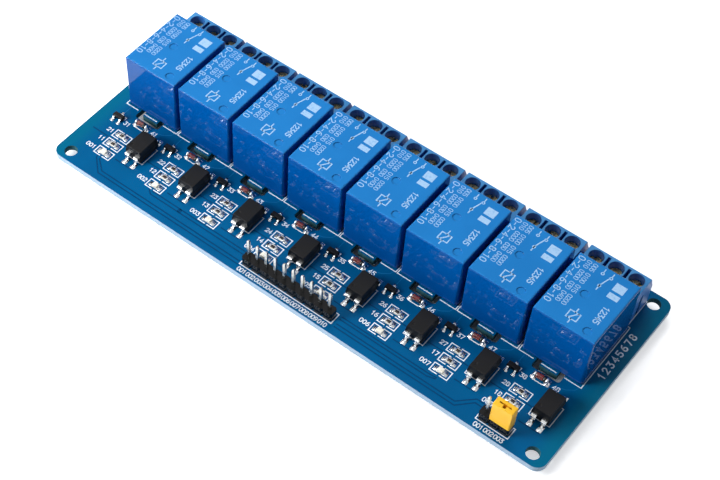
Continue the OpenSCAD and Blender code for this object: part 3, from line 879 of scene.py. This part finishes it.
# ---------------------------------------------------------------------------
# Board print, tracks, pads and solder
# ---------------------------------------------------------------------------
@dataclass
class BoardPrint:
    """White screen print on the board: outlines, brackets and plain numbers."""

    layout: Layout
    line: float = 0.24
    film: float = 0.02
    numerals: Numerals = Numerals(1.02, 0.2)
    bracket: Point = (4.6, 2.3)
    bracket_gap: float = 0.75
    block_run: float = 15.4
    pin_pitch: float = 2.54

    def _line(self, solid: Solid, points: Sequence[Point], closed: bool = False) -> None:
        """Add one printed line."""
        solid.ribbon(points, self.line, self.layout.top, self.film, closed)

    def _label(self, solid: Solid, text: str, right: float, y: float) -> None:
        """Print a number that ends at a given place and is centred on y."""
        self.numerals.draw(
            solid, text, (right - self.numerals.width(text), y - self.numerals.height / 2), self.layout.top, self.film
        )

    def _bracket(self, solid: Solid, x: float, y: float) -> None:
        """Print the pair of brackets round a chip part."""
        w, d = self.bracket[0] / 2, self.bracket[1] / 2
        for side in (-1, 1):
            inner, outer = x + side * self.bracket_gap / 2, x + side * w
            self._line(solid, [(inner, y - d), (outer, y - d), (outer, y + d), (inner, y + d)])

    def relay_outlines(self) -> None:
        """Print the outlines of the relays and terminal blocks."""
        lay, solid = self.layout, Solid(BOARD_INK)
        for k in CHANNELS:
            x, y = lay.relay_x(k), lay.front - 0.5
            side, back = 7.92, lay.relays[k - 1].high.y + 0.55
            block = lay.terminals[k - 1]
            self._line(solid, [(x - 2.05, y), (x + 1.6, y)])
            self._line(solid, [(x - 4.25, y), (x - side, y), (x - side, back)])
            self._line(solid, [(x + 3.85, y), (x + side, y), (x + side, back)])
            right = block.high.x + 0.05
            left = right - self.block_run
            self._line(solid, [(x - side, back), (x + side, back)])
            self._line(
                solid,
                [
                    (right, back + 0.35),
                    (right, block.high.y + 0.1),
                    (left, block.high.y + 0.1),
                    (left, back + 0.35),
                ],
            )
        solid.piece("silk_relay_outlines")

    def part_outlines(self) -> None:
        """Print the marks round the small parts of every channel."""
        lay, solid = self.layout, Solid(BOARD_INK)
        for k in CHANNELS:
            x = lay.relay_x(k)
            led = lay.leds[k - 1].middle
            for y in (led.y, *lay.resistor_rows):
                self._bracket(solid, led.x, y)
            body = lay.optos[k - 1]
            left, right = body.low.x - 0.42, body.high.x + 0.16
            low, high = body.low.y + 0.25, body.high.y - 0.7
            self._line(solid, [(left, low), (right, low), (right, high), (left, high)], True)
            tx, ty = x + lay.transistor_x, lay.transistor_y
            half = lay.transistor_size.x / 2 + 0.05
            for side in (-1, 1):
                self._line(
                    solid,
                    [
                        (tx + side * half, ty + 0.2),
                        (tx + side * half, ty + 0.95),
                        (tx + side * (half - 0.7), ty + 0.95),
                    ],
                )
            diode = lay.diodes[k - 1].middle
            self._line(solid, [(diode.x - 1.6, diode.y - 1.05), (diode.x + 1.0, diode.y - 1.05)])
            self._line(solid, [(diode.x - 1.6, diode.y + 1.05), (diode.x + 1.0, diode.y + 1.05)])
        solid.piece("silk_part_outlines")

    def numbers(self) -> None:
        """Print a plain number beside every small part."""
        lay, solid = self.layout, Solid(BOARD_INK)
        for k in CHANNELS:
            x, led = lay.relay_x(k), lay.leds[k - 1].middle
            self._label(solid, f"{k:03d}", led.x - 2.95, led.y)
            self._label(solid, f"{k + 10}", led.x - 2.95, lay.resistor_rows[0])
            self._label(solid, f"{k + 20}", led.x - 2.95, lay.resistor_rows[1])
            body = x + lay.transistor_x + lay.transistor_size.x / 2
            self._label(solid, f"{k + 30}", body + 2.15, lay.transistor_y - 0.35)
            diode = lay.diodes[k - 1]
            self._label(solid, f"{k + 40}", diode.high.x + 2.85, diode.middle.y)
        solid.piece("silk_numbers")

    def header_marks(self) -> None:
        """Print the outlines and pin numbers of the headers, and the row of numbers at the board's end."""
        lay, solid = self.layout, Solid(BOARD_INK)
        for header, pad in ((lay.input_header, 0.3), (lay.supply_header, 0.25)):
            low, high = header.low, header.high
            self._line(
                solid,
                [
                    (low.x - pad, low.y - 0.2),
                    (high.x + pad, low.y - 0.2),
                    (high.x + pad, high.y + 0.3),
                    (low.x - pad, high.y + 0.3),
                ],
                True,
            )
            close = Numerals(1.0, 0.19, 0.78)
            for i in range(round((high.x - low.x) / self.pin_pitch)):
                centre = low.x + (i + 0.5) * self.pin_pitch
                text = f"{i + 1:03d}"
                close.draw(solid, text, (centre - close.width(text) / 2, low.y - 1.85), lay.top, self.film)
        large = Numerals(1.55, 0.32, 1.2)
        large.draw(
            solid, "12345678", (lay.board.high.x - 1.85, 0.2), lay.top, self.film, Reading.TOWARDS_BACK
        )
        solid.piece("silk_header_marks")

    def build(self) -> None:
        """Build all the board's print."""
        self.relay_outlines()
        self.part_outlines()
        self.numbers()
        self.header_marks()


@dataclass
class Tracks:
    """Copper under the mask: gaps in the pour, raised track edges and vias."""

    layout: Layout
    gap: float = 0.3
    ridge: float = 0.18
    pair_gap: float = 0.95
    film: float = 0.006

    def build(self) -> None:
        """Build the track gaps, ridges and vias."""
        lay = self.layout
        solid = Solid(TRACK_GAP, TRACK_RIDGE)
        z = lay.top
        row = lay.leds[0].middle.y
        head = lay.input_header
        left, right = head.low.x, head.high.x
        runs: list[list[Point]] = []
        x1, x2, x7 = (lay.leds[k - 1].middle.x for k in (1, 2, 7))
        for off in (0.0, self.pair_gap):
            low = row - 5.4 + off
            start = x1 - 0.6 + off
            runs.append([(start, row - 1.6), (start, row - 2.0), (x1 + 3.0 + off * 0.4, low), (left - 0.4, low)])
            low = row - 2.5 + off
            runs.append([(x2 - 0.6 + off, row - 1.6), (x2 + 0.6 + off, low), (left - 0.6, low)])
        end = lay.supply_header.low.x
        for off in (0.0, 1.0):
            high, low = row - 0.9 - off, row - 4.3 - off * 0.9
            bends = (end - 2.6 + off * 0.2, end - 6.0 + off * 0.5)
            runs.append([(end - 0.3, high), (bends[0], high), (bends[1], low), (right + 1.4, low)])
            low = row - 2.1 - off * 0.8
            runs.append([(x7 + 0.2, row - 1.9 - off * 0.4), (x7 - 1.6, low), (right + 1.2, low)])
        for run in runs:
            solid.ribbon(run, self.gap, z, self.film)
        for k in CHANNELS:
            x = lay.relay_x(k)
            y = lay.front
            curve = [(x + 4.6, y - 3.2), (x + 5.6, y - 2.9), (x + 7.2, y - 1.7), (x + 7.6, y - 0.6)]
            solid.ribbon(curve, self.ridge, z, self.film, finish=1)
            tx = x + lay.transistor_x
            solid.ribbon([(tx, lay.transistor_y + 1.4), (tx, y - 0.4)], 0.16, z, self.film, finish=1)
            low, high = lay.resistor_rows
            solid.ribbon([(x + 0.95, low + 1.6), (x + 2.6, low + 1.6)], self.gap, z, self.film)
            solid.ribbon([(x - 9.0, low + 1.3), (x - 4.2, low + 1.3)], self.gap, z, self.film)
            solid.ribbon([(x + 7.0, row + 0.25), (x + 2.0, row + 0.25)], self.gap, z, self.film)
        via = (lay.relay_x(2) + 7.6, row - 2.0)
        solid.ring(via, 0.55, 0.32, z, self.film)
        solid.ring(via, 0.2, 0, z, self.film * 1.5)
        solid.piece("mask_relief", "board")


@dataclass
class SurfaceSolder:
    """Pads and solder fillets of the surface-mounted parts."""

    layout: Layout
    pad_t: float = 0.05

    def _pad(self, solid: Solid, x: float, y: float, w: float, d: float) -> None:
        """Add one tinned pad with a low dome of solder."""
        z = self.layout.top
        solid.block((x, y, z + self.pad_t / 2), (w, d, self.pad_t), 0, 0.02, 1)
        solid.block((x, y, z + self.pad_t), (w * 0.86, d * 0.86, self.pad_t * 1.6), 0, min(w, d) * 0.036, 1)

    def chips(self) -> None:
        """Solder the resistors and LEDs."""
        lay = self.layout
        solid = Solid(SOLDER_TIN)
        z = lay.top + self.pad_t
        for k in CHANNELS:
            led = lay.leds[k - 1]
            length, width = led.size.x, led.size.y
            for y, height in ((led.middle.y, 0.3), (lay.resistor_rows[0], 0.42), (lay.resistor_rows[1], 0.42)):
                for side in (-1, 1):
                    end = led.middle.x + side * length / 2
                    self._pad(solid, end + side * 0.2, y, 1.2, width + 0.1)
                    solid.fillet((end, y, z), 0.62, height, width * 0.94, (side, 0))
        solid.piece("solder_chips", "solder")

    def transistors(self) -> None:
        """Solder the transistors."""
        lay = self.layout
        solid = Solid(SOLDER_TIN)
        low, high = lay.transistor_reach
        for k in CHANNELS:
            x = lay.relay_x(k) + lay.transistor_x
            for dx, y, way in ((-0.95, low + 0.1, -1), (0.95, low + 0.1, -1), (0, high - 0.1, 1)):
                self._pad(solid, x + dx, y + 0.05 * way, 0.9, 1.05)
                solid.fillet((x + dx, y, lay.top + self.pad_t + 0.05), 0.42, 0.16, 0.6, (0, way))
        solid.piece("solder_transistors", "solder")

    def optocouplers(self) -> None:
        """Solder the optocouplers' feet."""
        lay = self.layout
        solid = Solid(SOLDER_TIN)
        low, high = lay.opto_reach
        for k in CHANNELS:
            body = lay.optos[k - 1].middle
            for side in (-1, 1):
                for y, way in ((low, -1), (high, 1)):
                    x = body.x + side * 1.27
                    self._pad(solid, x, y - 0.25 * way, 1.2, 1.7)
                    solid.fillet((x, y - 0.12 * way, lay.top + self.pad_t), 0.5, 0.3, 0.85, (0, way))
                    for cheek in (-1, 1):
                        solid.fillet((x + cheek * 0.22, y - 0.5 * way, lay.top + self.pad_t), 0.3, 0.2, 0.7, (cheek, 0))
        solid.piece("solder_optocouplers", "solder")

    def diodes(self) -> None:
        """Solder the diodes' end caps."""
        lay = self.layout
        solid = Solid(SOLDER_TIN)
        for k in CHANNELS:
            span = lay.diodes[k - 1]
            for side, end in ((-1, span.low.x), (1, span.high.x)):
                self._pad(solid, end - side * 0.1, span.middle.y, 1.3, 1.9)
                solid.fillet((end, span.middle.y, lay.top + self.pad_t), 0.5, 0.75, 1.1, (side, 0))
                for cheek in (-1, 1):
                    foot = (end - side * 0.22, span.middle.y + cheek * 0.35, lay.top + self.pad_t)
                    solid.fillet(foot, 0.5, 0.5, 0.4, (0, cheek))
        solid.piece("solder_diodes", "solder")

    def build(self) -> None:
        """Build all the surface solder."""
        self.chips()
        self.transistors()
        self.optocouplers()
        self.diodes()


# ---------------------------------------------------------------------------
# Small parts that stand for their CAD solids
# ---------------------------------------------------------------------------
@dataclass
class GlassDiode:
    """A glass diode: two plated caps, a red glass tube and a black cathode band."""

    span: Span
    name: str
    cap: float = 0.45
    band: tuple[float, float] = (0.55, 1.2)

    def build(self) -> bpy.types.Object:
        """Build the diode in place of its CAD solid.

        Returns:
            The new piece.
        """
        half, radius = self.span.size.x / 2, self.span.size.z / 2
        glass = radius - 0.07
        start, stop = self.band
        # one end, from the axis over the cap to the glass; the other end is its mirror image
        seam = half - self.cap
        one_end: list[Point] = [(0, half), (radius * 0.82, half), (radius, half - 0.1), (radius, seam + 0.03)]
        one_end += [(glass - 0.05, seam), (glass - 0.12, seam - 0.06), (glass, seam - 0.22)]
        profile = [(r, -h) for r, h in one_end]
        profile += [(glass, start), (glass + 0.012, start), (glass + 0.012, stop), (glass, stop)]
        profile += one_end[::-1]

        def finish(height: float) -> int:
            """Number of the finish at a height along the axis."""
            if abs(height) > half - self.cap - 0.02:
                return 0
            return 2 if start < height < stop else 1

        solid = Solid(LEAD_TIN, DIODE_GLASS, DIODE_BAND)
        solid.lathe(profile, self.span.middle, "X", finish, 28)
        return solid.piece(self.name, "diode_glass")


@dataclass
class ChipLed:
    """A chip LED: base board with plated ends and a clear moulded lens."""

    span: Span
    name: str
    base: float = 0.3
    cap: float = 0.26

    def build(self) -> bpy.types.Object:
        """Build the LED in place of its CAD solid.

        Returns:
            The new piece.
        """
        mid, size = self.span.middle, self.span.size
        z = self.span.low.z
        solid = Solid(LED_LENS, LEAD_TIN, ALUMINA)
        solid.block((mid.x, mid.y, z + self.base / 2), (size.x - 0.04, size.y, self.base), 2, 0.02, 1)
        for side in (-1, 1):
            x = mid.x + side * (size.x - self.cap) / 2
            solid.block((x, mid.y, z + self.base / 2), (self.cap, size.y * 0.92, self.base + 0.03), 1, 0.03, 1)
        height = size.z - self.base
        lens = (size.x - 2 * self.cap, size.y - 0.02, height)
        solid.block((mid.x, mid.y, z + self.base + height / 2), lens, 0, 0.12, 3)
        return solid.piece(self.name, "led_white")


@dataclass
class ChipResistors:
    """Thick-film chip resistors: white ceramic, black glaze on top, plated wrap-round ends."""

    layout: Layout
    cap: float = 0.46

    def build(self) -> bpy.types.Object:
        """Build all the resistors in place of their CAD solids.

        Returns:
            The new piece.
        """
        lay = self.layout
        solid = Solid(ALUMINA, LEAD_TIN, RESISTOR_GLAZE)
        length, width = lay.leds[0].size.x, lay.leds[0].size.y
        height = lay.resistor_top - lay.top
        for k in CHANNELS:
            x = lay.leds[k - 1].middle.x
            for y in lay.resistor_rows:
                z = lay.top
                solid.block((x, y, z + height / 2 - 0.02), (length - 0.1, width - 0.04, height - 0.06), 0, 0.03, 1)
                for side in (-1, 1):
                    end = x + side * (length - self.cap) / 2
                    solid.block((end, y, z + height / 2), (self.cap, width, height), 1, 0.07, 2)
                solid.block((x, y, z + height - 0.05), (length - 2 * self.cap - 0.06, width * 0.62, 0.08), 2, 0.03, 1)
        return solid.piece("resistor_chips", "chip_ceramic")


@dataclass
class SmallParts:
    """The small parts that are drawn in more detail than their CAD solids."""

    layout: Layout

    def build(self) -> None:
        """Build them and let them stand for their CAD nodes."""
        lay = self.layout
        for k in CHANNELS:
            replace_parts(GlassDiode(lay.diodes[k - 1], f"diode_{k}").build(), f"flyback_diode_{k}")
            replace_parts(ChipLed(lay.leds[k - 1], f"led_{k}").build(), f"indicator_led_{k}")
        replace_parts(ChipResistors(lay).build(), "resistors")


# ---------------------------------------------------------------------------
# Relay print
# ---------------------------------------------------------------------------
@dataclass
class RelayPrint:
    """Pad print on a relay's top: rows of plain numbers, a contact diagram and plain fields."""

    span: Span
    name: str
    film: float = 0.006

    def build(self) -> bpy.types.Object:
        """Print one relay.

        Returns:
            The new piece.
        """
        x, z = self.span.middle.x, self.span.high.z
        back = self.span.high.y - 1.1
        solid = Solid(RELAY_INK)
        big, small = Numerals(1.4, 0.2, 0.88), Numerals(1.0, 0.13, 0.78)
        big.draw(solid, "0-2-4-6-8-10", (x - 7.05, back), z, self.film, Reading.TOWARDS_FRONT)
        small.draw(solid, "010 0200 030 0400", (x - 5.05, back), z, self.film, Reading.TOWARDS_FRONT)
        small.draw(solid, "005 0100 015 0200", (x - 3.55, back), z, self.film, Reading.TOWARDS_FRONT)
        self._contacts(solid, x, z)
        self._coil(solid, x, z)
        self._fields(solid, x, z)
        return solid.piece(self.name)

    def _contacts(self, solid: Solid, x: float, z: float) -> None:
        """Print the changeover contact: two fixed contacts and the arm between them."""
        y = self.span.high.y - 6.9
        for side in (-1, 1):
            solid.ring((x + 0.3 + side * 1.05, y + 4.6), 0.42, 0.2, z, self.film, steps=16)
            solid.ribbon([(x + 0.3 + side * 1.05, y + 5.05), (x + 0.3 + side * 1.05, y + 5.9)], 0.24, z, self.film)
        solid.ribbon([(x + 0.3, y + 0.3), (x + 0.3, y + 1.6), (x + 1.0, y + 4.1)], 0.28, z, self.film)
        solid.ring((x + 0.3, y + 1.5), 0.42, 0, z, self.film, steps=16)

    def _coil(self, solid: Solid, x: float, z: float) -> None:
        """Print the coil: a box with a slanted bar and its two ends."""
        y = self.span.low.y + 3.6
        w, d = 1.25, 1.0
        mid = x + 0.2
        solid.ribbon([(mid - w, y - d), (mid + w, y - d), (mid + w, y + d), (mid - w, y + d)], 0.28, z, self.film, True)
        solid.ribbon([(mid - w * 0.6, y - d), (mid + w * 0.6, y + d)], 0.28, z, self.film)
        for way in (-1, 1):
            solid.ribbon([(mid, y + way * d), (mid, y + way * (d + 1.1))], 0.28, z, self.film)

    def _fields(self, solid: Solid, x: float, z: float) -> None:
        """Print the plain fields and the small numbers at the relay's right."""
        y = self.span.high.y - 4.7
        for i, depth in enumerate((2.3, 1.5)):
            top = y + 2.3 - i * 3.0
            left, right = x + 2.9, x + 5.5
            solid.outline([(left, top - depth), (right, top - depth), (right, top), (left, top)], z, self.film)
        Numerals(1.25, 0.24, 0.82).draw(solid, "12345", (x + 4.1, y - 4.6), z, self.film, Reading.TOWARDS_FRONT)


# ---------------------------------------------------------------------------
# Finishes of the CAD nodes
# ---------------------------------------------------------------------------
@dataclass
class CadDress:
    """Gives every CAD node that stays its finish."""

    nodes: dict[str, bpy.types.Object]

    def _give(self, node: str, finish: Finish) -> None:
        """Put a finish on one node's object."""
        slots = self.nodes[node].material_slots
        for slot in slots:
            slot.link = "OBJECT"
            slot.material = finish.material()

    def build(self) -> None:
        """Dress all the nodes."""
        single: dict[str, Finish] = {
            "circuit_board": LAMINATE,
            "relay_pins": LEAD_TIN,
            "terminal_screws": SCREW_ZINC,
            "terminal_clamps": CLAMP_NICKEL,
            "transistors": CHIP_EPOXY,
            "transistor_leads": LEAD_TIN,
            "optocoupler_leads": LEAD_TIN,
            "input_header": HEADER_PBT,
            "supply_header": HEADER_PBT,
            "input_header_pins": PIN_TIN,
            "supply_header_pins": PIN_TIN,
            "jumper_cap": JUMPER_PBT,
            "jumper_shunt": PIN_TIN,
            "solder_joints": SOLDER_TIN,
        }
        for node, finish in single.items():
            self._give(node, finish)
        for k in CHANNELS:
            self._give(f"relay_{k}", RELAY_SHELL)
            self._give(f"terminal_block_{k}", TERMINAL_NYLON)
            self._give(f"optocoupler_{k}", OPTO_EPOXY)
        LOG.info("finishes on %d nodes", len(single) + 24)


# ---------------------------------------------------------------------------
# Studio
# ---------------------------------------------------------------------------
@dataclass
class Studio:
    """Pale floor, soft lamps and the camera."""

    floor_z: float
    camera_at: tuple[float, float, float] = (118.95, -180.61, 277.48)
    heading: tuple[float, float, float] = (-0.3550, 0.4373, -0.8263)
    lens: float = 75.68
    shift: tuple[float, float] = (0.1410, 0.1210)
    floor_half: float = 4.0
    floor_glow: float = 0.55
    ambient: float = 0.22

    def camera(self) -> None:
        """Make the camera."""
        data = bpy.data.cameras.new("camera")
        data.sensor_width, data.lens = 36.0, self.lens
        data.shift_x, data.shift_y = self.shift
        data.clip_start, data.clip_end = 0.01, 20.0
        thing = bpy.data.objects.new("camera", data)
        thing.location = Vector(self.camera_at) * MM
        thing.rotation_euler = Vector(self.heading).to_track_quat("-Z", "Y").to_euler()
        bpy.context.scene.collection.objects.link(thing)
        bpy.context.scene.camera = thing

    def _seen(self, tree: bpy.types.NodeTree) -> Socket:
        """Give 1 for rays from the camera, from gloss and through glass, else 0."""
        path = add_node(tree, "ShaderNodeLightPath").outputs
        either = path["Is Camera Ray"]
        for kind in ("Is Glossy Ray", "Is Transmission Ray"):
            links = {0: either, 1: path[kind]}
            either = add_node(tree, "ShaderNodeMath", {"operation": "MAXIMUM"}, links=links).outputs[0]
        return either

    def floor(self) -> None:
        """Make the white floor, which keeps a soft shadow and a painted shadow under the module's middle."""
        material, tree, shader = new_material("studio_floor")
        shader.inputs["Roughness"].default_value = 0.9
        shader.inputs["Specular IOR Level"].default_value = 0.0
        # the sheet glows evenly like a light table, but the glow is cut under the module's middle: painted shadow
        place = add_node(tree, "ShaderNodeTexCoord").outputs["Object"]
        spread = add_node(tree, "ShaderNodeMapping", values={"Scale": (1.0, 4.0, 1.0)}, links={0: place})
        away = add_node(tree, "ShaderNodeVectorMath", {"operation": "LENGTH"}, links={0: spread.outputs[0]})
        level = remap(tree, away.outputs["Value"], 0.058, 0.068, 0.0, self.floor_glow)
        shader.inputs["Base Color"].default_value = linear("#fafafa")
        glow = add_node(tree, "ShaderNodeMath", {"operation": "MULTIPLY"}, links={0: self._seen(tree), 1: level})
        shader.inputs["Emission Color"].default_value = linear("#ffffff")
        tree.links.new(glow.outputs[0], shader.inputs["Emission Strength"])
        # from below, the floor lets the underside be seen
        behind = add_node(tree, "ShaderNodeNewGeometry").outputs["Backfacing"]
        clear = add_node(tree, "ShaderNodeBsdfTransparent")
        both = add_node(
            tree, "ShaderNodeMixShader", links={0: behind, 1: shader.outputs[0], 2: clear.outputs[0]}
        )
        output = next(n for n in tree.nodes if n.type == "OUTPUT_MATERIAL")
        tree.links.new(both.outputs[0], output.inputs["Surface"])
        bm = bmesh.new()
        bmesh.ops.create_grid(bm, x_segments=2, y_segments=2, size=self.floor_half)
        bmesh.ops.translate(bm, verts=bm.verts, vec=(0, 0, self.floor_z))
        mesh = bpy.data.meshes.new("floor")
        bm.to_mesh(mesh)
        bm.free()
        mesh.materials.append(material)
        thing = bpy.data.objects.new("floor", mesh)
        bpy.context.scene.collection.objects.link(thing)
        thing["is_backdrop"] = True

    def world(self) -> None:
        """Make the even light round the scene."""
        world = bpy.data.worlds.new("studio")
        world.use_nodes = True
        tree = world.node_tree
        tree.nodes.clear()
        soft = add_node(tree, "ShaderNodeBackground", values={0: linear("#f4f7ff"), 1: self.ambient})
        # a white sweep to a third of the way up, and the studio's dim ceiling over it
        way = add_node(tree, "ShaderNodeTexCoord").outputs["Generated"]
        height = add_node(tree, "ShaderNodeSeparateXYZ", links={0: way}).outputs[2]
        level = remap(tree, height, 0.3, 0.7, 1.0, 0.8)
        white = add_node(tree, "ShaderNodeBackground", values={0: linear("#ffffff")}, links={1: level})
        both = add_node(
            tree, "ShaderNodeMixShader", links={0: self._seen(tree), 1: soft.outputs[0], 2: white.outputs[0]}
        )
        add_node(tree, "ShaderNodeOutputWorld", links={0: both.outputs[0]})
        bpy.context.scene.world = world

    def lamp(self, name: str, at: Sequence[float], size: float, watts: float) -> bpy.types.Object:
        """Make one soft lamp that faces the module.

        Args:
            name: Name of the lamp.
            at: Its place in metres.
            size: Side of its square panel in metres.
            watts: Its power.

        Returns:
            The lamp.
        """
        data = bpy.data.lights.new(name, "AREA")
        data.size, data.energy = size, watts
        thing = bpy.data.objects.new(name, data)
        thing.location = at
        thing.rotation_euler = (-Vector(at)).to_track_quat("-Z", "Y").to_euler()
        bpy.context.scene.collection.objects.link(thing)
        return thing

    def build(self) -> None:
        """Build the whole studio."""
        self.camera()
        self.floor()
        self.world()
        # the key only shades; its mirror image would veil the board
        self.lamp("key_lamp", (-0.3, 0.55, 0.85), 0.5, 4.6).visible_glossy = False
        self.lamp("front_lamp", (-0.26, -0.3, 0.23), 0.18, 2.0)
        self.lamp("gloss_lamp", (-0.4, -0.12, 1.0), 0.3, 1.5)
        scene = bpy.context.scene
        scene.view_settings.view_transform = "Standard"


def main() -> None:
    """Build the module in order."""
    logging.basicConfig(level=logging.INFO, format="%(message)s")
    for thing in list(bpy.data.objects):
        bpy.data.objects.remove(thing)
    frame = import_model()
    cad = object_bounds()
    layout = Layout()
    Studio(cad[0].z).build()
    CadDress(frame["nodes"]).build()
    BoardPrint(layout).build()
    Tracks(layout).build()
    SurfaceSolder(layout).build()
    SmallParts(layout).build()
    for k in CHANNELS:
        RelayPrint(layout.relays[k - 1], f"relay_print_{k}").build()


if __name__ == "__main__":
    main()
